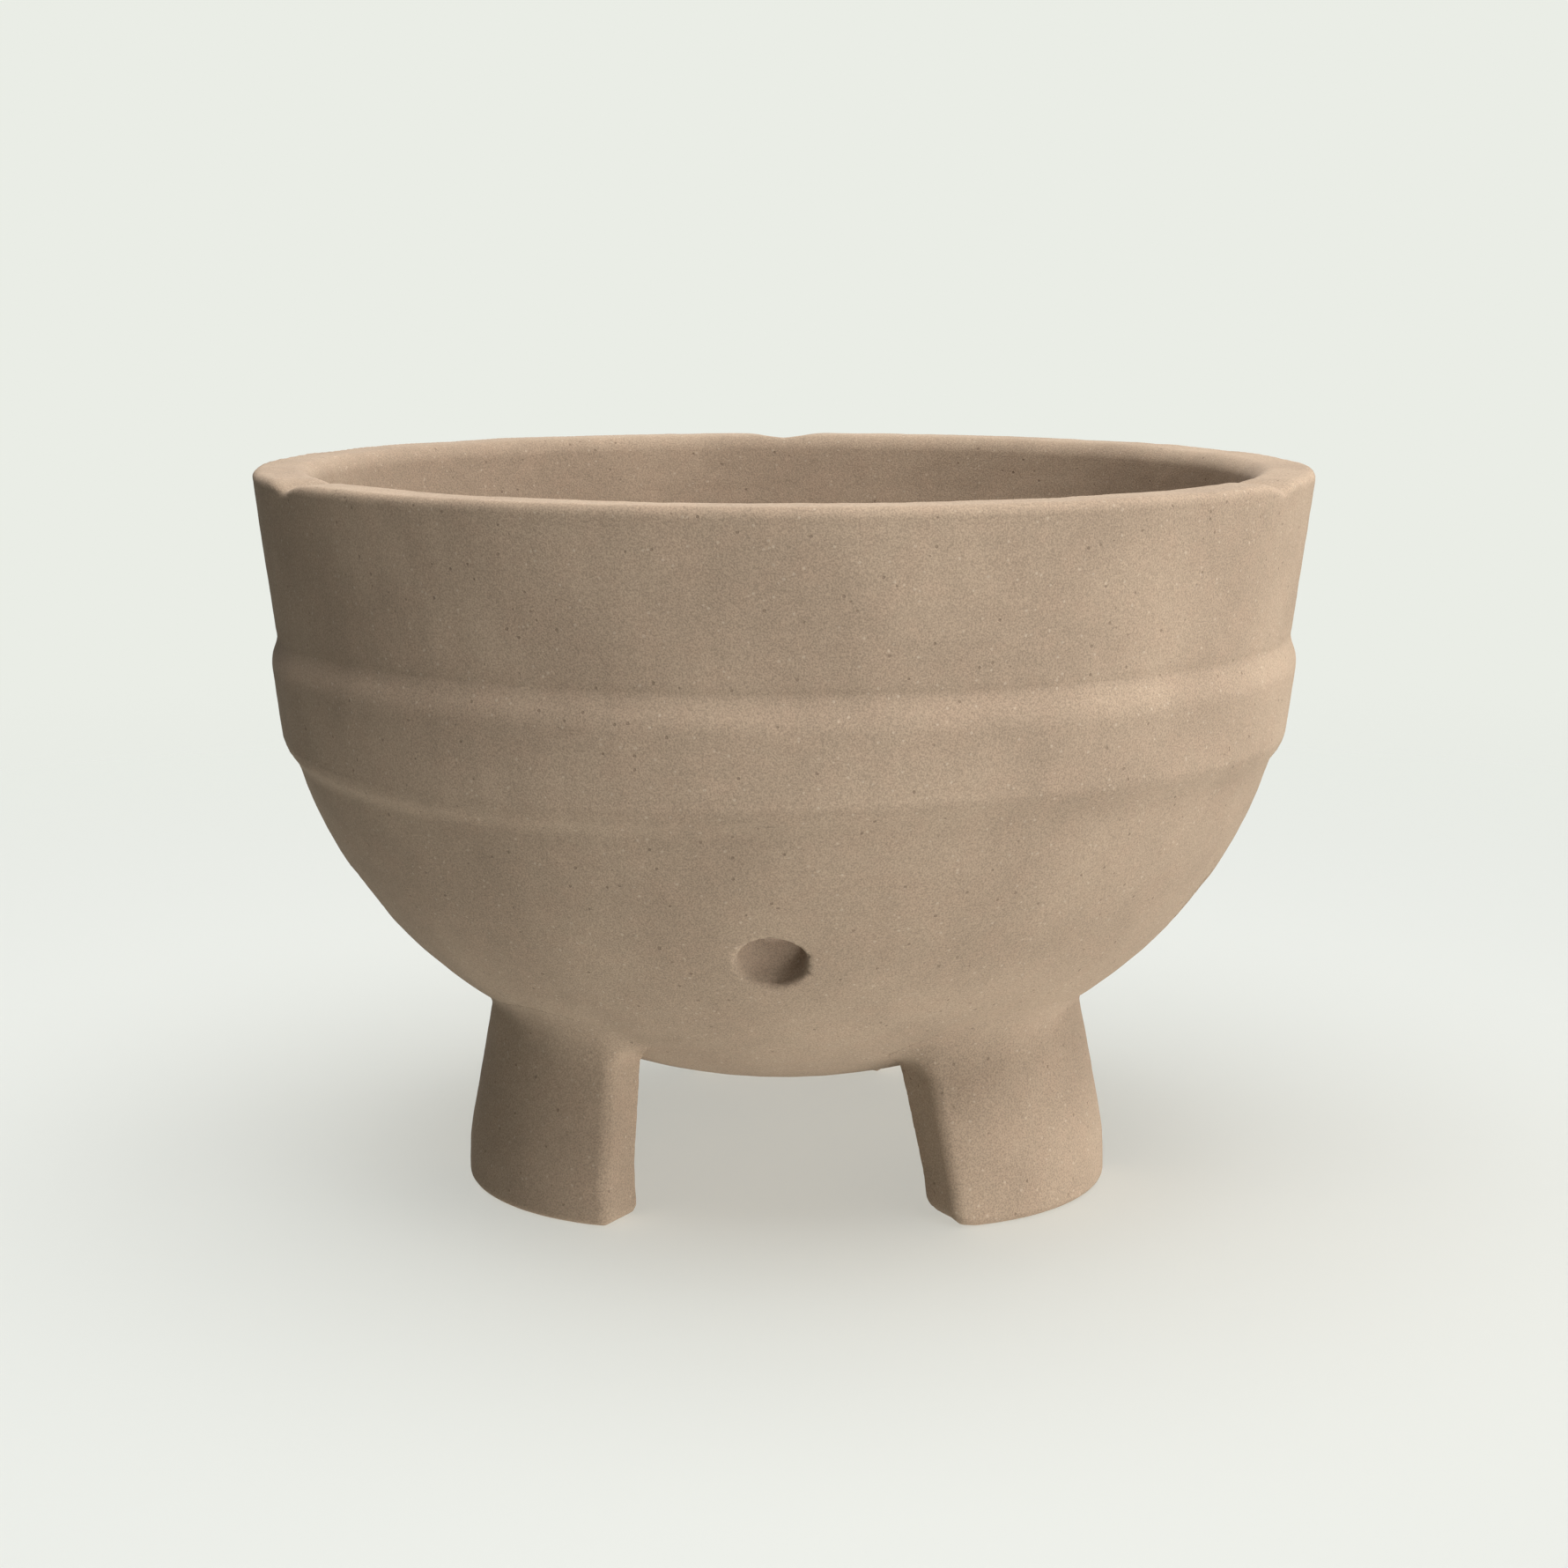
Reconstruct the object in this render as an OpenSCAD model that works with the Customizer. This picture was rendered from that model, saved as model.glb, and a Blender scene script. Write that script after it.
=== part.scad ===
// Three-legged stoneware molcajete (grinding bowl), 200 mm across the rim.
//
// Six clay pieces, joined while leather-hard and fired as one vessel: a press-moulded lower bowl,
// a rim wall set on it along a bevelled seam, a girth band keyed into a rebate over that seam,
// and three legs with round-bottomed seats luted under the bowl.
//
// Frame: origin on the ground under the middle of the bowl, +Z up, front of the vessel towards -Y.
// The bowl, rim wall and band are turned about Z, and each leg about an axis of its own.

/* [Vessel] */
// Outer diameter of the rim
rim_d = 200; // [190:1:215]
// Height from the ground to the top of the rim
total_h = 134.4; // [130:1:140]

/* [Rim wall] */
// Thickness of the rim wall at the lip
rim_t = 11.2; // [9:0.1:13]
// Rounding radius of the outer edge of the lip
lip_r = 1.6; // [1:0.1:4]
// Rounding radius of the inner edge of the lip
inner_lip_r = 3.2; // [1:0.1:4]
// Depth of the rim wall, from the lip down to the top of the girth band
wall_h = 31.7; // [28:0.1:36]
// How far the outer face leans in between the lip and the girth band
wall_taper = 3.7; // [1:0.1:5]
// Depth of the rim notches at the outer edge of the lip
notch_depth = 1.9; // [1:0.1:3]
// Width of the rim notches at the outer edge of the lip
notch_w = 11.5; // [6:0.5:14]
// Slope of the notch floor, falling outwards
notch_slope = 8; // [3:1:10]
// Bearing of each front notch, to the left and to the right of the front
notch_bearing = 61.5; // [58:0.5:65]

/* [Girth band] */
// Height of the girth band
band_h = 20.8; // [18:0.1:22]
// How far the band stands proud of the wall at its top bevel
band_proud = 1.7; // [0.5:0.1:3]
// Height of the top bevel
bevel_h = 3.6; // [2:0.1:6]
// How far the face of the band leans in from the bevel to its lower edge
band_taper = 1.7; // [0:0.1:3]
// Rounding radius of the lower edge
band_roll = 3.4; // [1.5:0.1:4]
// Depth of the rebate that the band is keyed into, from the crease above the band
rebate_depth = 5; // [4:0.1:5]

/* [Lower bowl] */
// Radius of the arc that forms the side of the bowl
side_r = 81.5; // [79:0.5:83]
// Distance from the axis to the centre of the side arc
side_x = 15; // [13:0.5:17]
// Depth of the centre of the side arc below the rim
side_drop = 31; // [29:0.1:33]
// Radius of the flatter arc that forms the bottom of the bowl
base_r = 110; // [106:1:116]
// Thickness of the bowl
bowl_t = 11.5; // [9:0.5:13]
// Depth of the inner end of the seam between bowl and rim wall, below the rim
seam_drop = 40; // [38:0.5:42]
// Fall of the seam from the inner face to the rebate
seam_fall = 4; // [2:0.5:6]

/* [Vent holes] */
// Number of vent holes around the bowl
vent_count = 5; // [3:1:6]
// Turn of the ring of vent holes to the left of the front
vent_turn = 1.4; // [0:0.1:4]
// Diameter of the vent holes
vent_d = 12; // [8:0.5:16]
// Angle of the vent holes below the horizontal
vent_pitch = 36; // [30:1:40]

/* [Legs] */
// Bearing of each front leg, to the left and to the right of the front
leg_bearing = 53; // [52:0.5:62]
// Sector angle that a leg takes, seen from the middle of the bowl
leg_span = 45; // [36:1:52]
// Distance from the middle of the bowl to a leg's own axis
leg_axis_r = 28; // [24:0.5:30]
// Outer radius of the foot, about the leg's own axis
foot_r = 38.5; // [36:0.5:42]
// Thickness of a leg
leg_t = 10; // [9:0.5:12]
// Height of the upright part of the foot
foot_h = 8; // [5:0.5:12]
// Inward lean of the leg above the foot, in degrees
leg_lean = 11; // [4:1:14]
// Rounding radius of the foot's edges
foot_round = 3.5; // [1:0.5:4]

/* [Hidden] */
$fn = 180;
// Warm buff of unglazed stoneware, and slightly different shades for the added pieces.
clay = [0.66, 0.58, 0.47];
clay_wall = [0.69, 0.61, 0.50];
clay_band = [0.64, 0.56, 0.45];
clay_leg = [0.62, 0.54, 0.44];

rim_r = rim_d / 2;
// Crease between rim wall and girth band.
crease_z = total_h - wall_h;
crease_r = rim_r - wall_taper;
// Rebate for the girth band: a cylinder between two flat shoulders.
rebate_r = crease_r - rebate_depth;
band_z = crease_z - band_h;
// Centres of the two arcs of the bowl. The side arc touches the bottom arc from inside.
side_z = total_h - side_drop;
base_z = side_z + sqrt(pow(base_r - side_r, 2) - side_x * side_x);
// Direction from the centre of the bottom arc to the point where both arcs touch.
touch = [side_x, side_z - base_z] / (base_r - side_r);
// Seam between bowl and rim wall, from the inner face down to the rebate.
seam_in_z = total_h - seam_drop;
seam_in_r = side_x + sqrt(pow(side_r - bowl_t, 2) - pow(seam_in_z - side_z, 2));
seam_out_z = seam_in_z - seam_fall;
// Larger than the whole vessel, for cutting.
far = 2 * rim_d;

// Point where a line from p touches the circle of radius r round c; turn is 1 or -1 for its side.
function touch_point(p, c, r, turn) =
    let (d = norm(c - p))
    let (bearing = atan2(c.y - p.y, c.x - p.x) + turn * asin(r / d))
    p + sqrt(d * d - r * r) * [cos(bearing), sin(bearing)];

// Side of the solid bowl, sunk by t, as a half section.
module side_outline(t) {
    intersection() {
        translate([side_x, side_z]) circle(r = side_r - t);
        translate([0, -far]) square([far, 2 * far]);
    }
}

// Bottom of the solid bowl, sunk by t, as far out as the point where both arcs touch.
module base_outline(t) {
    intersection() {
        translate([0, base_z]) circle(r = base_r - t);
        polygon([[0, base_z], [0, base_z - far], [0, base_z] + far * touch]);
    }
}

// Everything above the seam, as a half section.
module above_seam() {
    slope = (seam_in_z - seam_out_z) / (rebate_r - seam_in_r);
    polygon([
        [0, seam_in_z + slope * seam_in_r],
        [far, seam_in_z + slope * (seam_in_r - far)],
        [far, far],
        [0, far + seam_in_z]
    ]);
}

// Space outside the rebate, from its lower shoulder upwards, as a half section.
module outside_rebate() {
    translate([rebate_r, band_z]) square([far, far]);
}

// Shell of the bowl below the seam, with the vent holes bored square to its outer face.
module lower_bowl() {
    color(clay)
    difference() {
        rotate_extrude() difference() {
            union() {
                side_outline(0);
                base_outline(0);
            }
            side_outline(bowl_t);
            base_outline(bowl_t);
            above_seam();
            outside_rebate();
        }
        for (i = [0 : vent_count - 1]) vent_bore(i * 360 / vent_count - 90 - vent_turn);
    }
}

// Cutter for one vent hole at an azimuth; its axis passes through the side arc's centre.
module vent_bore(azimuth) {
    rotate([0, 0, azimuth])
    translate([side_x, 0, side_z])
    rotate([0, 90 + vent_pitch, 0])
    translate([0, 0, side_r - 2 * bowl_t]) cylinder(d = vent_d, h = 3 * bowl_t, $fn = 64);
}

// Tapered wall with a rounded lip, from the seam up to the rim, with three drain notches in the lip.
module rim_wall() {
    outer_lip = [rim_r - lip_r, total_h - lip_r];
    inner_lip = [rim_r - rim_t + inner_lip_r, total_h - inner_lip_r];
    color(clay_wall)
    difference() {
        rotate_extrude() union() {
            translate(outer_lip) circle(r = lip_r, $fn = 64);
            translate(inner_lip) circle(r = inner_lip_r, $fn = 64);
            polygon([
                [rebate_r, seam_out_z],
                [rebate_r, crease_z],
                [crease_r, crease_z],
                touch_point([crease_r, crease_z], outer_lip, lip_r, -1),
                outer_lip,
                [outer_lip.x, total_h],
                [inner_lip.x, total_h],
                inner_lip,
                touch_point([seam_in_r, seam_in_z], inner_lip, inner_lip_r, 1),
                [seam_in_r, seam_in_z]
            ]);
        }
        rim_notch(90);
        rim_notch(-90 - notch_bearing);
        rim_notch(-90 + notch_bearing);
    }
}

// Cutter for a V notch across the lip; its floor falls outwards.
module rim_notch(azimuth) {
    rotate([0, 0, azimuth])
    translate([rim_r, 0, total_h - notch_depth])
    rotate([0, notch_slope, 0])
    rotate([90, 0, -90])
    translate([0, 0, -rim_t]) linear_extrude(3 * rim_t) polygon([
        [0, 0],
        [2 * notch_w, 4 * notch_depth],
        [-2 * notch_w, 4 * notch_depth]
    ]);
}

// Applied band, bevelled above and rolled under below, keyed into the rebate over the seam.
module girth_band() {
    face_top = [crease_r + band_proud - bevel_h * wall_taper / wall_h, crease_z - bevel_h];
    roll = [face_top.x - band_taper - band_roll, band_z + band_roll];
    color(clay_band)
    rotate_extrude() union() {
        translate(roll) circle(r = band_roll, $fn = 64);
        polygon([
            [rebate_r, band_z],
            [roll.x, band_z],
            roll,
            touch_point(face_top, roll, band_roll, 1),
            face_top,
            [crease_r, crease_z],
            [rebate_r, crease_z]
        ]);
    }
}

// Section of a leg about its own axis: an upright foot with rounded edges, leaning in above it.
module leg_section() {
    top_z = side_z / 2;
    lean = (top_z - foot_h) * tan(leg_lean);
    outer_toe = [foot_r - foot_round, foot_round];
    inner_toe = [foot_r - leg_t + foot_round, foot_round];
    union() {
        translate(outer_toe) circle(r = foot_round, $fn = 64);
        translate(inner_toe) circle(r = foot_round, $fn = 64);
        polygon([
            [inner_toe.x, 0],
            [outer_toe.x, 0],
            outer_toe,
            [foot_r, foot_round],
            [foot_r, foot_h],
            [foot_r - lean, top_z],
            [foot_r - lean - leg_t, top_z],
            [foot_r - leg_t, foot_h],
            [foot_r - leg_t, foot_round],
            inner_toe
        ]);
    }
}

// Leg centred on an azimuth: a sector of a curved wall, with a seat that fits the outside of the bowl.
module leg(azimuth) {
    near = leg_axis_r / 2;
    color(clay_leg)
    rotate([0, 0, azimuth])
    difference() {
        intersection() {
            translate([leg_axis_r, 0, 0]) rotate_extrude() leg_section();
            translate([0, 0, -foot_h]) linear_extrude(far) polygon([
                [near, -near * tan(leg_span / 2)],
                [far, -far * tan(leg_span / 2)],
                [far, far * tan(leg_span / 2)],
                [near, near * tan(leg_span / 2)]
            ]);
        }
        rotate_extrude() side_outline(0);
        rotate_extrude() base_outline(0);
    }
}

module leg_front_left() {
    leg(-90 - leg_bearing);
}

module leg_front_right() {
    leg(-90 + leg_bearing);
}

module leg_back() {
    leg(90);
}

lower_bowl();
rim_wall();
girth_band();
leg_front_left();
leg_front_right();
leg_back();
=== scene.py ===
import functools
import math

import bpy
import numpy as np
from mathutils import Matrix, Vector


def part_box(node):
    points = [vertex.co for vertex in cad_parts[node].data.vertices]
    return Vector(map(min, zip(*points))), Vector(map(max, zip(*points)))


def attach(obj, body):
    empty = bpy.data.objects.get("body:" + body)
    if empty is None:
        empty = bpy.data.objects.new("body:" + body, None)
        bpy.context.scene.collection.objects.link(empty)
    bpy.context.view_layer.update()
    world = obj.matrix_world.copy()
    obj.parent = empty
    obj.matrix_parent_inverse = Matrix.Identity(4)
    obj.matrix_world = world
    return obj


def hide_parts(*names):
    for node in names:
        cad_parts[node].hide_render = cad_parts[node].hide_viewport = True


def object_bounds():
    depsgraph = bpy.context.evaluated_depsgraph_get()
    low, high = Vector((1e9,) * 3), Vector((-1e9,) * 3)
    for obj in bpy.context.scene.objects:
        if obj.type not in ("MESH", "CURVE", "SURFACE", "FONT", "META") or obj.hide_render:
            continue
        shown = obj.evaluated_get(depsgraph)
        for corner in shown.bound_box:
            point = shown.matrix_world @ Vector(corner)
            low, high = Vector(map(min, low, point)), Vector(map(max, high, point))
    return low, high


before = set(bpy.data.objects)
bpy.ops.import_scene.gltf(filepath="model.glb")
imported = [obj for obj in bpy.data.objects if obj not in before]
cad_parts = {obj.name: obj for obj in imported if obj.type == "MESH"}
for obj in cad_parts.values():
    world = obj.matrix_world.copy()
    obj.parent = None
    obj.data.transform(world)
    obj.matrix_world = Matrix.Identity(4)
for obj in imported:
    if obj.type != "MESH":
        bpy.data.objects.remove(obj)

import openvdb
from mathutils import Vector

# Each piece of the vessel is a closed mesh, drawn round a distance field: the CAD's own profiles,
# softened and made slightly uneven as hand-worked clay is. A field is negative inside the clay.
# Lengths are in metres.
MM = 0.001

CAD_LOW, CAD_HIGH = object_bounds()
_, WALL_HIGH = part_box("rim_wall")
BAND_LOW, BAND_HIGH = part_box("girth_band")
BOWL_LOW, BOWL_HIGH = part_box("lower_bowl")

# Rim wall: outer radius, top, rounding of the lip's two edges and thickness.
RIM_R = WALL_HIGH.x
TOP = WALL_HIGH.z
LIP_R = 1.6 * MM
INNER_LIP_R = 3.2 * MM
RIM_T = 11.2 * MM
# Crease above the girth band, and the rebate that the band is keyed into.
CREASE_Z = BAND_HIGH.z
CREASE_R = RIM_R - 3.7 * MM
REBATE_R = CREASE_R - 5 * MM
BAND_Z = BAND_LOW.z
# Faint groove in the wall: its depth, its height above the crease and its width.
GROOVE_DEPTH = 0.16 * MM
GROOVE_RISE = 0.8 * MM
GROOVE_W = 1.1 * MM
# Girth band: widest line, lean of its face, rolled lower edge and height of its bevel.
BAND_R = BAND_HIGH.x
BAND_LEAN = 1.7 * MM
BAND_ROLL = 3.4 * MM
BEVEL_H = 3.6 * MM
# Softness of the crease above the band and of the ridge under the bevel.
CREASE_SOFT = 0.6 * MM
RIDGE_SOFT = 0.8 * MM
# How far clay is smeared into the corner under the band.
SMEAR = 2.6 * MM
# Lower bowl: an arc for the side and a flatter one for the bottom, and its thickness.
SIDE_R = 81.5 * MM
SIDE_X = 15 * MM
SIDE_Z = TOP - 31 * MM
BASE_R = 110 * MM
BASE_Z = BOWL_LOW.z + BASE_R
BOWL_T = 11.5 * MM
# Direction from the centre of the bottom arc to the point where both arcs touch.
TOUCH_X = SIDE_X / (BASE_R - SIDE_R)
TOUCH_Z = (SIDE_Z - BASE_Z) / (BASE_R - SIDE_R)
# Seam between bowl and wall, falling outwards.
SEAM_Z = BOWL_HIGH.z
SEAM_R = SIDE_X + math.sqrt((SIDE_R - BOWL_T) ** 2 - (SEAM_Z - SIDE_Z) ** 2)
SEAM_FALL = 4 * MM / (REBATE_R - SEAM_R)
# Vent holes, bored square to the bowl's side, with soft edges and slightly torn walls.
VENT_R = 6 * MM
VENT_PITCH = math.radians(36)
VENT_AZIMUTHS = [math.radians(-91.4 + 72 * i) for i in range(5)]
VENT_SOFT = 1.0 * MM
VENT_TEAR = 0.1 * MM
# Drain notches across the lip: a V with a round bottom and soft shoulders, falling outwards.
NOTCH_AZIMUTHS = [math.radians(90), math.radians(-151.5), math.radians(-28.5)]
NOTCH_DEPTH = 1.9 * MM
NOTCH_FALL = math.radians(8)
NOTCH_SIDE = 0.33
NOTCH_BOTTOM = 1.2 * MM
NOTCH_SOFT = 1.4 * MM
# Distance to a notch's sloping sides, as a share of the height above them.
NOTCH_SQUARE = 0.94

# Legs: their own axis, outer radius, thickness, upright foot, lean above it and width.
LEG_AXIS_R = 28 * MM
FOOT_R = 38.5 * MM
LEG_T = 10 * MM
FOOT_H = 8 * MM
LEG_LEAN = math.radians(11)
LEG_HALF_SPAN = math.radians(22.5)
# All legs stand slightly to the right, and bend softly above the foot.
LEG_SHIFT = 0.5 * MM
LEG_BEND = 3 * MM
# Height over which a leg flares towards the gap beside it.
FLARE_H = 30 * MM
# Rounding of a leg's upright edges, and of the sole's outer edge, which turns into the corner rounding
# of the sole's other edges over a short way.
GAP_EDGE = 1.8 * MM
FAR_EDGE = 2 * MM
INNER_EDGE = 1.2 * MM
SOLE_EDGE = 1.6 * MM
SOLE_TURN = 6 * MM
# Clay in the corner between leg and bowl: its least reach and what it gains towards the gap.
ROOT_LEAST = 1.2 * MM
ROOT_GAIN = 6.5 * MM
# The gain starts this far past the leg's middle, seen from the gap, grows towards the gap over a width,
# and fades out behind the outer face.
GAIN_START = 12 * MM
GAIN_WIDTH = 26 * MM
GAIN_FADE = 8 * MM
# The clay stands out from the leg's sides by no more than this share of its reach.
ROOT_LIMIT = 0.84

# Unevenness of the clay: broad and close dents, which fade out towards the soles.
BROAD_DENT = 0.09 * MM
CLOSE_DENT = 0.045 * MM
DENT_FADE = 3 * MM
# The vessel is slightly oval and its turned lines swing; the offsets keep both inside the CAD's shape.
SWAY = 0.06 * MM
OVAL_OFFSET = 3.2
SWING_OFFSET = 3.8
# The band's lower edge dips and climbs by about this much, and what lies near it follows.
EDGE_SWAY = 1.17 * MM
EDGE_REACH = 9 * MM

# How far touching pieces run into each other out of sight, and along the skin that they share.
LAP = 0.4 * MM
KEY = 1.4 * MM
SKIN_LAP = 1.2 * MM

# Steps for the slope of a field: one to find the surface with, and one for the normals.
FIND_STEP = 0.08 * MM
NORMAL_STEP = 0.3 * MM
# A point this close to the shared skin takes its normal from there.
SKIN_NEAR = 0.1 * MM
# Free cells round a piece in its grid, and the grid's value away from the piece.
FREE_CELLS = 2.5
FAR_CELLS = 10.0

# Texture of the clay, in features to the metre.
CLOUDS = 38
BLOTCHES = 210
GRAINS = 850
GRITS = 3300
PITS = 950
FLECKS = 1250
# Linear colours.
DARK_CLAY = (0.304, 0.229, 0.163)
LIGHT_CLAY = (0.354, 0.269, 0.192)
PALE_FLECK = (0.60, 0.50, 0.39)
# Near-black brown painted into the pits as painted shade.
PAINTED_PIT_SHADE = (0.12, 0.08, 0.055)
FLOOR_COLOUR = (0.80, 0.82, 0.78, 1)
BACKDROP_COLOUR = (0.823, 0.847, 0.791, 1)
WHITE = (1, 1, 1, 1)

# The floor is a disc of this radius, and fades out between two distances from the vessel's axis.
FLOOR_R = 2.2
FLOOR_CORNERS = 96
FADE_START = 0.16
FADE_END = 0.7

# Camera in front of the vessel: distance from its axis, height above the rim and tilt in degrees, and
# its lens and sensor in millimetres, as Blender counts them.
CAMERA_OUT = 0.56
CAMERA_RISE = 38.16 * MM
CAMERA_DOWN = 10.18
LENS = 67.146
SENSOR = 36


def smooth_max(a, b, reach):
    """The larger of two fields, with the edge between them softened over reach."""
    blend = np.maximum(reach - np.abs(a - b), 0) / reach
    return np.maximum(a, b) + blend * blend * reach / 4


def smooth_min(a, b, reach):
    """The smaller of two fields, with the inner corner between them filled over reach."""
    return -smooth_max(-a, -b, reach)


def round_max(a, b, radius):
    """The larger of two fields, with the edge between them rounded to a radius."""
    corner = np.hypot(np.maximum(a + radius, 0), np.maximum(b + radius, 0))
    return np.minimum(np.maximum(a, b), -radius) + corner


def bell(distance, width):
    """A bell curve: 1 at distance 0, and fading to nothing beyond the width."""
    return np.exp(-((distance / width) ** 2))


def waves(p, seed, count, shortest, longest):
    """Smooth unevenness between about -1 and 1, with wavelengths between two lengths."""
    rng = np.random.default_rng(seed)
    total = np.zeros(len(p))
    for _ in range(count):
        direction = rng.normal(size=3)
        direction /= np.linalg.norm(direction)
        length = shortest * (longest / shortest) ** rng.random()
        total += np.sin(p @ (direction * 2 * math.pi / length) + rng.random() * 2 * math.pi)
    return total / math.sqrt(count * 2)


def dents(p):
    """Shallow unevenness of the hand-worked surface."""
    broad = waves(p, seed=3, count=10, shortest=18 * MM, longest=45 * MM)
    close = waves(p, seed=5, count=14, shortest=4 * MM, longest=11 * MM)
    return BROAD_DENT * broad + CLOSE_DENT * close


def turned(p):
    """Radius and height of points, as they would be if the vessel were perfectly round and level."""
    x, y, z = p.T
    r = np.hypot(x, y)
    bearing = np.arctan2(x, -y)
    oval = np.sin(2 * bearing + 0.6) + 0.6 * np.sin(3 * bearing + 2) + 0.4 * np.sin(5 * bearing + 40 * z)
    swing = np.sin(bearing + 1.2) + 0.7 * np.sin(4 * bearing)
    # The lower edge of the band was set by eye: it dips to the left of the front and climbs to the right.
    set_by_eye = EDGE_SWAY * (np.sin(2 * bearing) + 0.25 * np.sin(4 * bearing))
    level = z + SWAY * (SWING_OFFSET + swing) - set_by_eye * bell(z - BAND_Z, EDGE_REACH)
    return r + SWAY * (OVAL_OFFSET + oval), level


def bowl_solid(r, z, sunk):
    """Distance to the solid bowl shape, sunk inwards by a thickness."""
    side = np.hypot(r - SIDE_X, z - SIDE_Z) - (SIDE_R - sunk)
    base = np.hypot(r, z - BASE_Z) - (BASE_R - sunk)
    in_base = -TOUCH_Z * r < (BASE_Z - z) * TOUCH_X
    return np.where(in_base, base, side)


def above_seam(r, z):
    """Height above the seam, measured square to it."""
    return (z - SEAM_Z + SEAM_FALL * (r - SEAM_R)) / math.hypot(1, SEAM_FALL)


def tangent_slope(across, along, radius):
    """Slope of a line that grazes a circle centred across and along; radius is signed by side."""
    slope = across / along
    for _ in range(8):
        slope = (across + radius * math.hypot(1, slope)) / along
    return slope


def vent(p, azimuth):
    """Distance to the wall of one vent hole, negative inside it."""
    x, y, z = p.T
    out = x * math.cos(azimuth) + y * math.sin(azimuth) - SIDE_X
    across = y * math.cos(azimuth) - x * math.sin(azimuth)
    up = z - SIDE_Z
    along = out * math.cos(VENT_PITCH) - up * math.sin(VENT_PITCH)
    square = out * math.sin(VENT_PITCH) + up * math.cos(VENT_PITCH)
    torn = VENT_TEAR * waves(p, seed=23, count=8, shortest=1.8 * MM, longest=5 * MM)
    bore = np.hypot(across, square) - VENT_R + torn
    return np.maximum(bore, -along)


def wall_face(r, z):
    """Distance to the outer face of the rim wall, a cone with a faint groove above the crease."""
    lean = tangent_slope(RIM_R - LIP_R - CREASE_R, TOP - LIP_R - CREASE_Z, LIP_R)
    groove = GROOVE_DEPTH * bell(z - CREASE_Z - GROOVE_RISE, GROOVE_W)
    return (r - CREASE_R - lean * (z - CREASE_Z)) / math.hypot(1, lean) + groove


def bevel_face(r, z):
    """Distance to the bevel that rises from the girth band's ridge to the crease."""
    proud = BAND_R - CREASE_R
    height = z - CREASE_Z + BEVEL_H
    return ((r - BAND_R) * BEVEL_H + height * proud) / math.hypot(proud, BEVEL_H)


def band_body(r, z):
    """Rim wall and band as one turned solid, with a soft crease, a soft ridge and a rolled lower edge."""
    ridge_z = CREASE_Z - BEVEL_H
    upper = smooth_min(wall_face(r, z), bevel_face(r, z), CREASE_SOFT)
    lean = tangent_slope(BAND_LEAN + BAND_ROLL, ridge_z - BAND_Z - BAND_ROLL, -BAND_ROLL)
    face = (r - BAND_R - lean * (z - ridge_z)) / math.hypot(1, lean)
    return smooth_max(round_max(face, BAND_Z - z, BAND_ROLL), upper, RIDGE_SOFT)


def hollow(r, z):
    """Distance to the inner surface of bowl and rim wall, positive in the hollow."""
    across = RIM_R - RIM_T + INNER_LIP_R - SEAM_R
    flare = tangent_slope(across, TOP - INNER_LIP_R - SEAM_Z, -INNER_LIP_R)
    wall = (SEAM_R + flare * (z - SEAM_Z) - r) / math.hypot(1, flare)
    return np.where(z > SEAM_Z, wall, -bowl_solid(r, z, BOWL_T))


def notched(d, p):
    """A field with the three drain notches cut into its top."""
    x, y, z = p.T
    for azimuth in NOTCH_AZIMUTHS:
        out = x * math.cos(azimuth) + y * math.sin(azimuth)
        across = y * math.cos(azimuth) - x * math.sin(azimuth)
        rise = (RIM_R - out) * math.tan(NOTCH_FALL)
        side = NOTCH_SIDE * (np.hypot(across, NOTCH_BOTTOM) - NOTCH_BOTTOM)
        floor = TOP - NOTCH_DEPTH + rise + side
        d = smooth_max(d, (z - floor) * NOTCH_SQUARE, NOTCH_SOFT)
    return d


def vessel(p):
    """Everything but the legs, as one solid with clay smeared into the corner under the band."""
    r, z = turned(p)
    below = np.maximum(bowl_solid(r, z, 0), z - BAND_Z)
    outside = smooth_min(below, band_body(r, z), SMEAR)
    d = round_max(outside, z - TOP, LIP_R)
    d = np.maximum(d, round_max(hollow(r, z), z - TOP, INNER_LIP_R))
    for azimuth in VENT_AZIMUTHS:
        d = smooth_max(d, -vent(p, azimuth), VENT_SOFT)
    return notched(d, p) + dents(p)


def lower_bowl(p):
    """Pressed shell below the seam, rebated for the band."""
    r, z = turned(p)
    rebate = np.minimum(r - REBATE_R, z - BAND_Z - SKIN_LAP)
    return np.maximum(vessel(p), np.maximum(above_seam(r, z) - SKIN_LAP, rebate))


def rim_wall(p):
    """Tapered wall above the seam, rebated for the band."""
    r, z = turned(p)
    rebate = np.minimum(r - REBATE_R, CREASE_Z - SKIN_LAP - z)
    return np.maximum(vessel(p), np.maximum(-above_seam(r, z) - SKIN_LAP, rebate))


def girth_band(p):
    """Applied band, keyed over the seam."""
    r, z = turned(p)
    ends = np.maximum(z - CREASE_Z - SKIN_LAP, BAND_Z - SKIN_LAP - z)
    return np.maximum(vessel(p), np.maximum(REBATE_R - LAP - r, ends))


def root_reach(toward_gap, outer):
    """Reach of the clay in the corner between leg and bowl, largest at the outer face by the gap."""
    share = np.clip((toward_gap + GAIN_START) / GAIN_WIDTH, 0, 1)
    near_face = np.clip(1 + outer / GAIN_FADE, 0, 1)
    return ROOT_LEAST + ROOT_GAIN * share * share * (3 - 2 * share) * near_face


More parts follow.
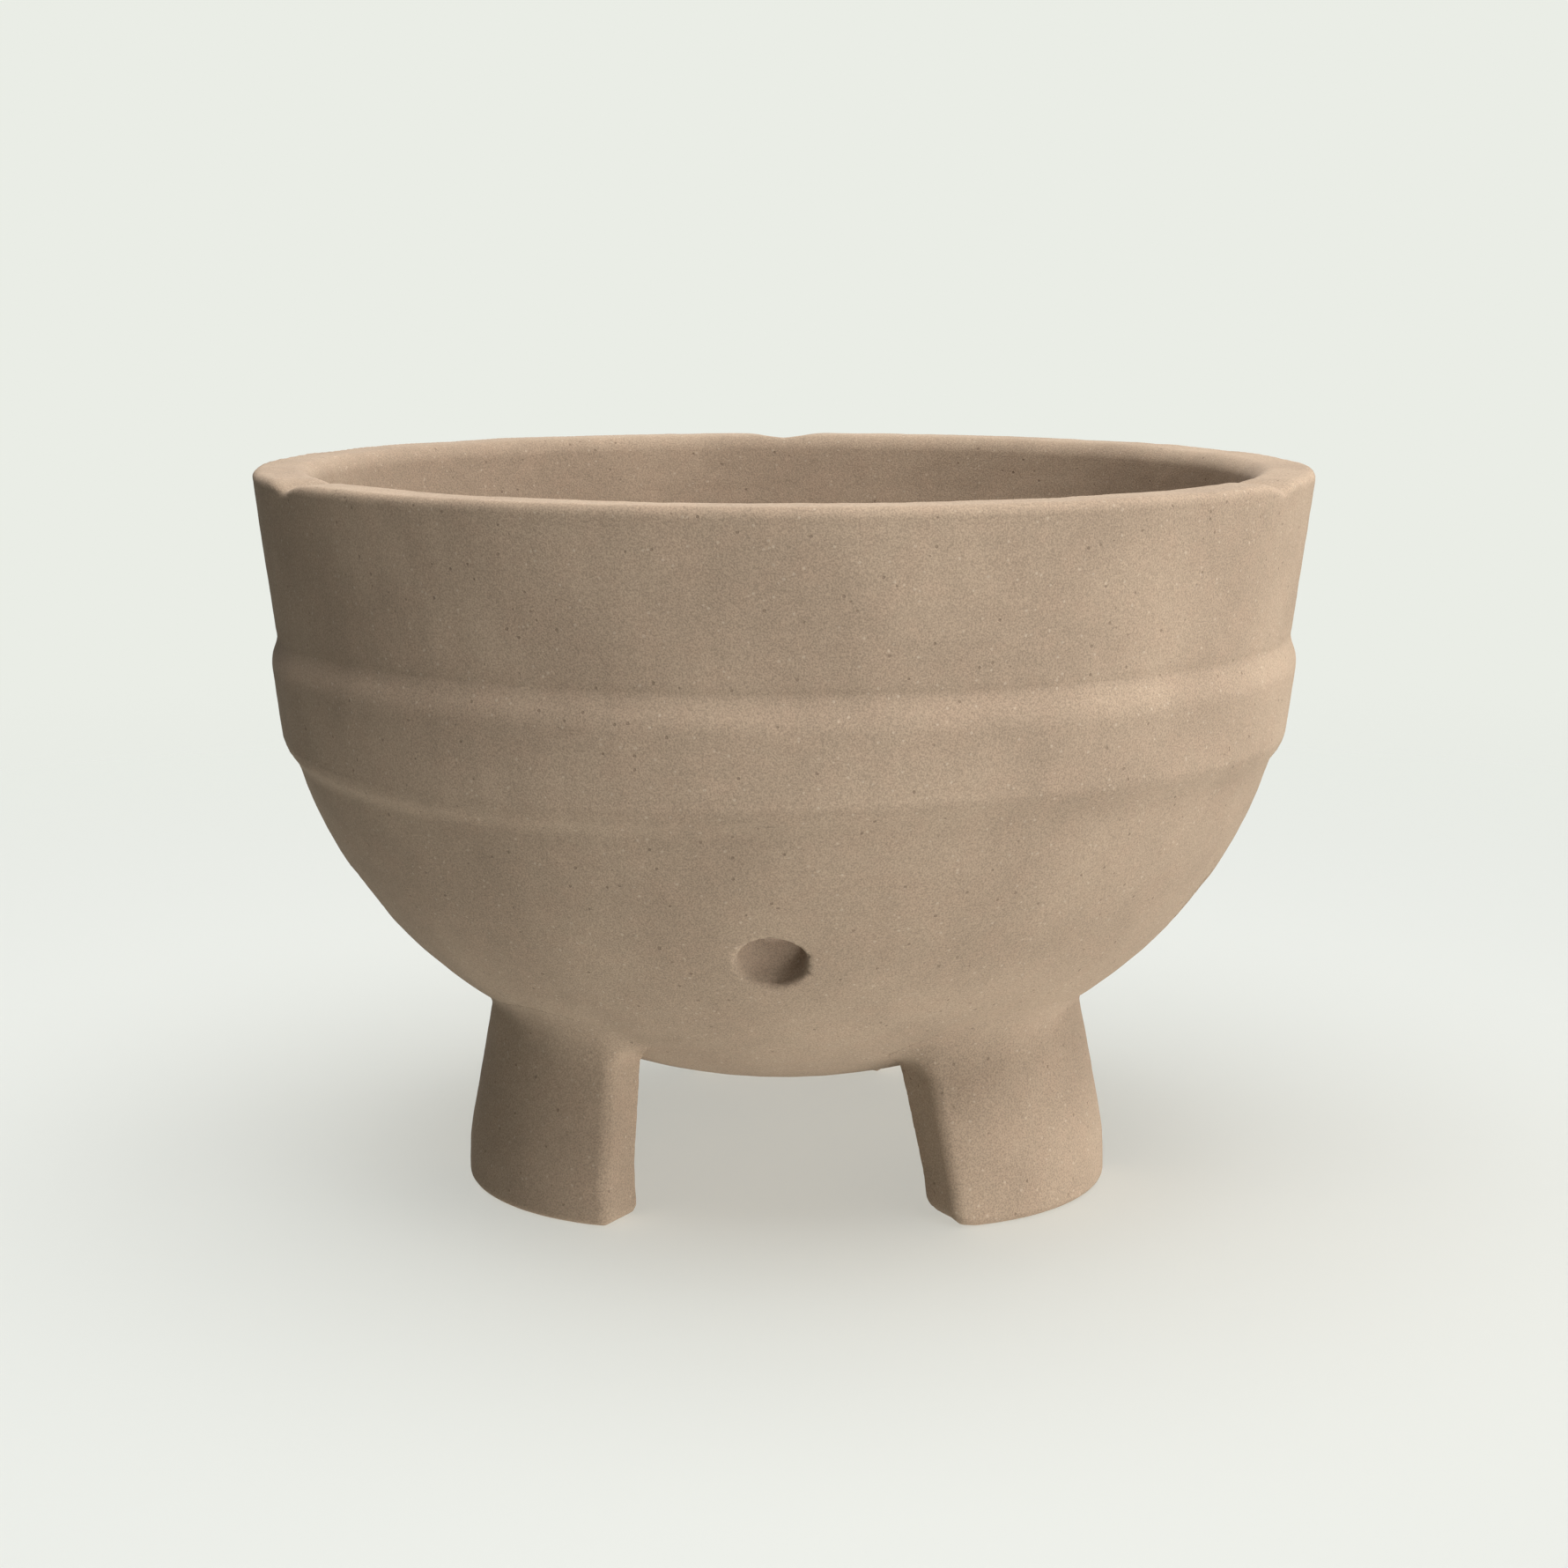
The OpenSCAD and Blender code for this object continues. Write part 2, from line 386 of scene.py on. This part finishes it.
def leg(p, azimuth, gap_side, shift, flare, corner):
    """Curved wall leg with a round-edged foot, blended into the bowl near its outer face.

    On gap_side it is wider by shift, and higher up by flare too. Corner rounds most of the sole.
    """
    x, y, z = p.T
    x = x - LEG_SHIFT
    out = x * math.cos(azimuth) + y * math.sin(azimuth)
    across = y * math.cos(azimuth) - x * math.sin(azimuth)
    own_r = np.hypot(out - LEG_AXIS_R, across)
    above_foot = z - FOOT_H
    lean = math.tan(LEG_LEAN) * 0.5 * (above_foot + np.hypot(above_foot, LEG_BEND))
    outer = (own_r - FOOT_R + lean) * math.cos(LEG_LEAN)
    inner = (FOOT_R - LEG_T - lean - own_r) * math.cos(LEG_LEAN)
    toward_gap = across * gap_side
    wide = shift + flare * np.clip(z / FLARE_H, 0, 1)
    gap_face = toward_gap * math.cos(LEG_HALF_SPAN) - out * math.sin(LEG_HALF_SPAN) - wide
    far_face = -toward_gap * math.cos(LEG_HALF_SPAN) - out * math.sin(LEG_HALF_SPAN)
    sides = round_max(round_max(outer, gap_face, GAP_EDGE), far_face, FAR_EDGE)
    bowl = bowl_solid(*turned(p), 0)
    reach = root_reach(toward_gap, outer)
    joined = np.maximum(smooth_min(sides, bowl, reach), sides - ROOT_LIMIT * reach)
    facing_out = np.clip(0.5 + (outer - gap_face) / SOLE_TURN, 0, 1)
    sole_round = corner + (SOLE_EDGE - corner) * facing_out
    d = round_max(round_max(joined, inner, INNER_EDGE), -z, sole_round)
    uneven = dents(p) * np.clip(z / DENT_FADE, 0, 1)
    return np.maximum(d, -bowl - KEY) + uneven


def sampled(field, low, counts, pitch):
    """Values of a field on a regular grid."""
    values = np.empty(counts, np.float32)
    y = low[1] + pitch * np.arange(counts[1])
    z = low[2] + pitch * np.arange(counts[2])
    plane = np.stack(np.meshgrid(y, z, indexing="ij"), -1).reshape(-1, 2)
    for i in range(counts[0]):
        x = np.full((len(plane), 1), low[0] + pitch * i)
        values[i] = field(np.hstack([x, plane])).reshape(counts[1:])
    return values


def surface(node, field, pitch, margin):
    """Points and quads near a field's surface, looked for in a CAD node's box widened by a margin."""
    low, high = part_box(node)
    low = np.array(low) - margin - FREE_CELLS * pitch
    counts = np.ceil((np.array(high) + margin + FREE_CELLS * pitch - low) / pitch).astype(int)
    values = sampled(field, low, counts, pitch) / pitch
    grid = openvdb.FloatGrid(FAR_CELLS)
    grid.copyFromArray(values)
    points, quads = grid.convertToQuads(0.0)
    return points.astype(float) * pitch + low, quads


def gradient(field, points, step):
    """Slope of a field at points."""
    sides = []
    for axis in np.eye(3) * step:
        sides.append((field(points + axis) - field(points - axis)) / (2 * step))
    return np.stack(sides, 1)


def settled(field, skin, points, pitch):
    """Points moved onto the field's surface, and their normals, taken from the skin where on it."""
    least_slope = 0.5
    furthest = 0.5 * pitch
    for _ in range(3):
        slope = gradient(field, points, FIND_STEP)
        squared = np.maximum((slope * slope).sum(1), least_slope**2)
        move = np.clip(field(points) / squared, -furthest, furthest)
        points = points - slope * move[:, None]
    slope = gradient(field, points, NORMAL_STEP)
    shared = np.abs(skin(points)) < SKIN_NEAR
    slope[shared] = gradient(skin, points[shared], NORMAL_STEP)
    return points, slope / np.linalg.norm(slope, axis=1)[:, None]


def outward(points, quads):
    """Quads wound so that their normals point out of the piece."""
    a, b, c, d = (points[quads[:, i]] for i in range(4))
    volume = (np.cross(c - a, d - b) * (a + b + c + d)).sum()
    if volume < 0:
        return quads[:, ::-1]
    return quads


def piece(node, name, field, skin, pitch, margin):
    """Closed mesh that stands for a CAD node and rides with it."""
    points, quads = surface(node, field, pitch, margin)
    points, normals = settled(field, skin, points, pitch)
    quads = outward(points, quads)
    mesh = bpy.data.meshes.new(name)
    mesh.from_pydata(points.tolist(), [], quads.tolist())
    mesh.shade_smooth()
    mesh.normals_split_custom_set_from_vertices(normals.tolist())
    obj = bpy.data.objects.new(name, mesh)
    bpy.context.scene.collection.objects.link(obj)
    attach(obj, "root")
    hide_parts(node)
    return obj


def add(tree, kind, **values):
    """New shader node; a value sets the node's setting of that name, or else its input, _ for space."""
    made = tree.nodes.new(kind)
    for key, value in values.items():
        if hasattr(made, key):
            setattr(made, key, value)
        else:
            made.inputs[key.replace("_", " ")].default_value = value
    return made


def feed(tree, socket, value):
    """Give an input what it takes: another node's output, a linear colour or a number."""
    if isinstance(value, bpy.types.NodeSocket):
        tree.links.new(value, socket)
    elif isinstance(value, tuple):
        socket.default_value = (*value, 1)
    else:
        socket.default_value = value


def noise(tree, place, scale, detail, roughness=0.5):
    """Noise value, with about as many grains to the metre as the scale says."""
    made = add(tree, "ShaderNodeTexNoise", Scale=scale, Detail=detail, Roughness=roughness)
    tree.links.new(place, made.inputs["Vector"])
    return made.outputs["Fac"]


def ramp(tree, value, low, high, start=0.0, end=1.0):
    """Value carried smoothly from the range low to high onto the range start to end."""
    made = add(tree, "ShaderNodeMapRange", interpolation_type="SMOOTHSTEP")
    tree.links.new(value, made.inputs["Value"])
    made.inputs["From Min"].default_value = low
    made.inputs["From Max"].default_value = high
    made.inputs["To Min"].default_value = start
    made.inputs["To Max"].default_value = end
    return made.outputs["Result"]


def math_node(tree, operation, a, b):
    """Result of a maths node; each input is a socket or a number."""
    made = add(tree, "ShaderNodeMath", operation=operation)
    feed(tree, made.inputs[0], a)
    feed(tree, made.inputs[1], b)
    return made.outputs["Value"]


def mixed(tree, share, a, b, how="MIX"):
    """Colour between a and b, or a blended with b in another way; each is a socket or a colour."""
    made = add(tree, "ShaderNodeMix", data_type="RGBA", blend_type=how)
    # The node has sockets for numbers and vectors too; these numbers are the colour sockets.
    feed(tree, made.inputs[0], share)
    feed(tree, made.inputs[6], a)
    feed(tree, made.inputs[7], b)
    return made.outputs[2]


def grey(tree, value):
    """Grey colour of a brightness."""
    made = add(tree, "ShaderNodeCombineColor")
    for channel in ("Red", "Green", "Blue"):
        tree.links.new(value, made.inputs[channel])
    return made.outputs["Color"]


def spots(tree, place, scale, size, share):
    """Mask of scattered round spots: one in some of the cells of a cell pattern."""
    cells = add(tree, "ShaderNodeTexVoronoi", Scale=scale, Randomness=1.0)
    tree.links.new(place, cells.inputs["Vector"])
    core = size * 0.55
    dot = ramp(tree, cells.outputs["Distance"], core, size, 1.0, 0.0)
    split = add(tree, "ShaderNodeSeparateColor")
    tree.links.new(cells.outputs["Color"], split.inputs["Color"])
    chosen = math_node(tree, "GREATER_THAN", split.outputs["Red"], 1 - share)
    return math_node(tree, "MULTIPLY", dot, chosen)


def clay_colour(tree, place, blotch, grain, grit, pits):
    """Colour of the clay: clouds, pinkish blotches, grain, grit, pale flecks, and painted shade darkening
    the pits.
    """
    cloud = noise(tree, place, CLOUDS, 3)
    colour = mixed(tree, ramp(tree, cloud, 0.32, 0.68), DARK_CLAY, LIGHT_CLAY)
    red, green, blue = LIGHT_CLAY
    pink = (red * 1.03, green * 0.96, blue * 0.95)
    colour = mixed(tree, ramp(tree, blotch, 0.4, 0.7, 0.0, 0.25), colour, pink)
    fine = math_node(tree, "ADD", ramp(tree, grit, 0.3, 0.7, -0.19, 0.19), 1.0)
    fine = math_node(tree, "ADD", fine, ramp(tree, grain, 0.3, 0.7, -0.02, 0.02))
    colour = mixed(tree, 1.0, colour, grey(tree, fine), "MULTIPLY")
    flecks = spots(tree, place, FLECKS, size=0.42, share=0.05)
    colour = mixed(tree, math_node(tree, "MULTIPLY", flecks, 0.3), colour, PALE_FLECK)
    # Painted shade: the pits, which the bump also sinks, are darkened towards a near-black brown.
    return mixed(tree, math_node(tree, "MULTIPLY", pits, 0.45), colour, PAINTED_PIT_SHADE)


def clay_height(tree, blotch, grain, grit, pits):
    """Height of the clay's surface: grit, weaker grain and blotches, less the pits."""
    height = math_node(tree, "ADD", grit, math_node(tree, "MULTIPLY", grain, 0.5))
    height = math_node(tree, "ADD", height, math_node(tree, "MULTIPLY", blotch, 0.5))
    return math_node(tree, "SUBTRACT", height, pits)


def clay(name):
    """Unglazed gritty stoneware."""
    material = bpy.data.materials.new(name)
    material.use_nodes = True
    tree = material.node_tree
    shader = tree.nodes["Principled BSDF"]
    place = add(tree, "ShaderNodeTexCoord").outputs["Object"]
    blotch = noise(tree, place, BLOTCHES, 3)
    grain = noise(tree, place, GRAINS, 2, 0.6)
    grit = noise(tree, place, GRITS, 2, 0.6)
    pits = spots(tree, place, PITS, size=0.36, share=0.03)
    colour = clay_colour(tree, place, blotch, grain, grit, pits)
    tree.links.new(colour, shader.inputs["Base Color"])
    bump = add(tree, "ShaderNodeBump", Strength=0.8, Distance=0.08 * MM)
    tree.links.new(clay_height(tree, blotch, grain, grit, pits), bump.inputs["Height"])
    tree.links.new(bump.outputs["Normal"], shader.inputs["Normal"])
    shader.inputs["Roughness"].default_value = 0.95
    shader.inputs["Diffuse Roughness"].default_value = 0.5
    shader.inputs["Specular IOR Level"].default_value = 0.2
    return material


def leg_fields():
    """Field of each leg, by CAD node. They differ slightly, as legs set on by hand do."""
    left = {"azimuth": math.radians(-143), "gap_side": 1, "shift": -0.5 * MM, "flare": -1.6 * MM}
    right = {"azimuth": math.radians(-37), "gap_side": -1, "shift": 1.0 * MM, "flare": 2.9 * MM}
    back = {"azimuth": math.radians(90.0), "gap_side": 1, "shift": 0.0, "flare": 0.0}
    return {
        "leg_front_left": functools.partial(leg, **left, corner=2 * MM),
        "leg_front_right": functools.partial(leg, **right, corner=4 * MM),
        "leg_back": functools.partial(leg, **back, corner=3 * MM),
    }


def build_vessel():
    """The six clay pieces, with their material."""
    pieces = [
        piece("lower_bowl", "bowl_shell", lower_bowl, vessel, 1.22 * MM, 0),
        piece("rim_wall", "rim_collar", rim_wall, vessel, 0.97 * MM, 0),
        piece("girth_band", "applied_band", girth_band, vessel, 0.75 * MM, 2 * MM),
    ]
    for node, field in leg_fields().items():
        name = node.replace("leg", "wall_leg")
        pieces.append(piece(node, name, field, field, 0.6 * MM, 8 * MM))
    stoneware = clay("stoneware")
    for obj in pieces:
        obj.data.materials.append(stoneware)
    return pieces


def floor_material():
    """Matt pale paint that is solid near the vessel and fades into the backdrop."""
    material = bpy.data.materials.new("pale_floor")
    material.use_nodes = True
    tree = material.node_tree
    shader = tree.nodes["Principled BSDF"]
    shader.inputs["Base Color"].default_value = FLOOR_COLOUR
    shader.inputs["Roughness"].default_value = 1.0
    shader.inputs["Specular IOR Level"].default_value = 0.0
    place = add(tree, "ShaderNodeTexCoord").outputs["Object"]
    length = add(tree, "ShaderNodeVectorMath", operation="LENGTH")
    tree.links.new(place, length.inputs[0])
    fade = ramp(tree, length.outputs["Value"], FADE_START, FADE_END, 1.0, 0.0)
    tree.links.new(fade, shader.inputs["Alpha"])
    return material


def build_floor():
    """Pale round floor."""
    mesh = bpy.data.meshes.new("floor")
    turn = np.linspace(0, 2 * math.pi, FLOOR_CORNERS, endpoint=False)
    rim = np.stack([FLOOR_R * np.cos(turn), FLOOR_R * np.sin(turn), np.zeros(FLOOR_CORNERS)], 1)
    mesh.from_pydata(rim.tolist(), [], [list(range(FLOOR_CORNERS))])
    floor = bpy.data.objects.new("floor", mesh)
    bpy.context.scene.collection.objects.link(floor)
    mesh.materials.append(floor_material())
    return floor


def build_world():
    """Pale backdrop for the camera, and a dim even light from all round."""
    world = bpy.data.worlds.new("studio")
    bpy.context.scene.world = world
    world.use_nodes = True
    tree = world.node_tree
    tree.nodes.clear()
    backdrop = add(tree, "ShaderNodeBackground", Color=BACKDROP_COLOUR, Strength=1.0)
    light = add(tree, "ShaderNodeBackground", Color=WHITE, Strength=0.03)
    path = add(tree, "ShaderNodeLightPath")
    choice = add(tree, "ShaderNodeMixShader")
    output = add(tree, "ShaderNodeOutputWorld")
    tree.links.new(path.outputs["Is Camera Ray"], choice.inputs[0])
    tree.links.new(light.outputs[0], choice.inputs[1])
    tree.links.new(backdrop.outputs[0], choice.inputs[2])
    tree.links.new(choice.outputs[0], output.inputs["Surface"])


def area_light(name, bearing, elevation, distance, size, power, lit):
    """Square soft light that points at the vessel's middle and lights one collection.

    Bearing is counted in degrees from the camera's side of the vessel towards the right.
    """
    data = bpy.data.lights.new(name, "AREA")
    data.size = size
    data.energy = power
    obj = bpy.data.objects.new(name, data)
    bpy.context.scene.collection.objects.link(obj)
    obj.light_linking.receiver_collection = lit
    a = math.radians(bearing)
    e = math.radians(elevation)
    back = Vector((math.sin(a) * math.cos(e), -math.cos(a) * math.cos(e), math.sin(e)))
    obj.location = (CAD_LOW + CAD_HIGH) / 2 + back * distance
    obj.rotation_euler = (-back).to_track_quat("-Z", "Y").to_euler()
    return obj


def collection(name, objects):
    """New collection of objects, for lights to act on."""
    made = bpy.data.collections.new(name)
    for obj in objects:
        made.objects.link(obj)
    return made


def light_vessel(clay_pieces):
    """Soft light from the right, the front, above and behind, and the floor's bounce from below it."""
    area_light("key", bearing=88, elevation=20, distance=1.5, size=1.2, power=9, lit=clay_pieces)
    area_light("fill", bearing=28, elevation=8, distance=1.8, size=1.3, power=9, lit=clay_pieces)
    area_light("top", bearing=35, elevation=70, distance=1.5, size=1.0, power=40, lit=clay_pieces)
    area_light("back", bearing=188, elevation=22, distance=1.7, size=1.3, power=15, lit=clay_pieces)
    low = area_light("low", bearing=50, elevation=-16, distance=1.6, size=1.3, power=19, lit=clay_pieces)
    low.light_linking.blocker_collection = clay_pieces


def light_floor(ground):
    """Light from above on the floor, half of it without the vessel's shadow."""
    spread = {"bearing": 0, "elevation": 89, "distance": 2.0, "size": 2.6}
    area_light("floor_light", **spread, power=33, lit=ground)
    fill = area_light("floor_fill", **spread, power=32, lit=ground)
    fill.light_linking.blocker_collection = ground


def build_camera():
    """Camera a little above the rim, looking slightly down at the front of the vessel."""
    data = bpy.data.cameras.new("camera")
    data.sensor_width = SENSOR
    data.lens = LENS
    camera = bpy.data.objects.new("camera", data)
    bpy.context.scene.collection.objects.link(camera)
    camera.location = (0, -CAMERA_OUT, TOP + CAMERA_RISE)
    camera.rotation_euler = (math.radians(90 - CAMERA_DOWN), 0, 0)
    bpy.context.scene.camera = camera


def main():
    """Build the scene."""
    pieces = build_vessel()
    floor = build_floor()
    build_world()
    light_vessel(collection("clay_pieces", pieces))
    light_floor(collection("ground", [floor]))
    build_camera()
    bpy.context.scene.view_settings.view_transform = "Standard"


main()
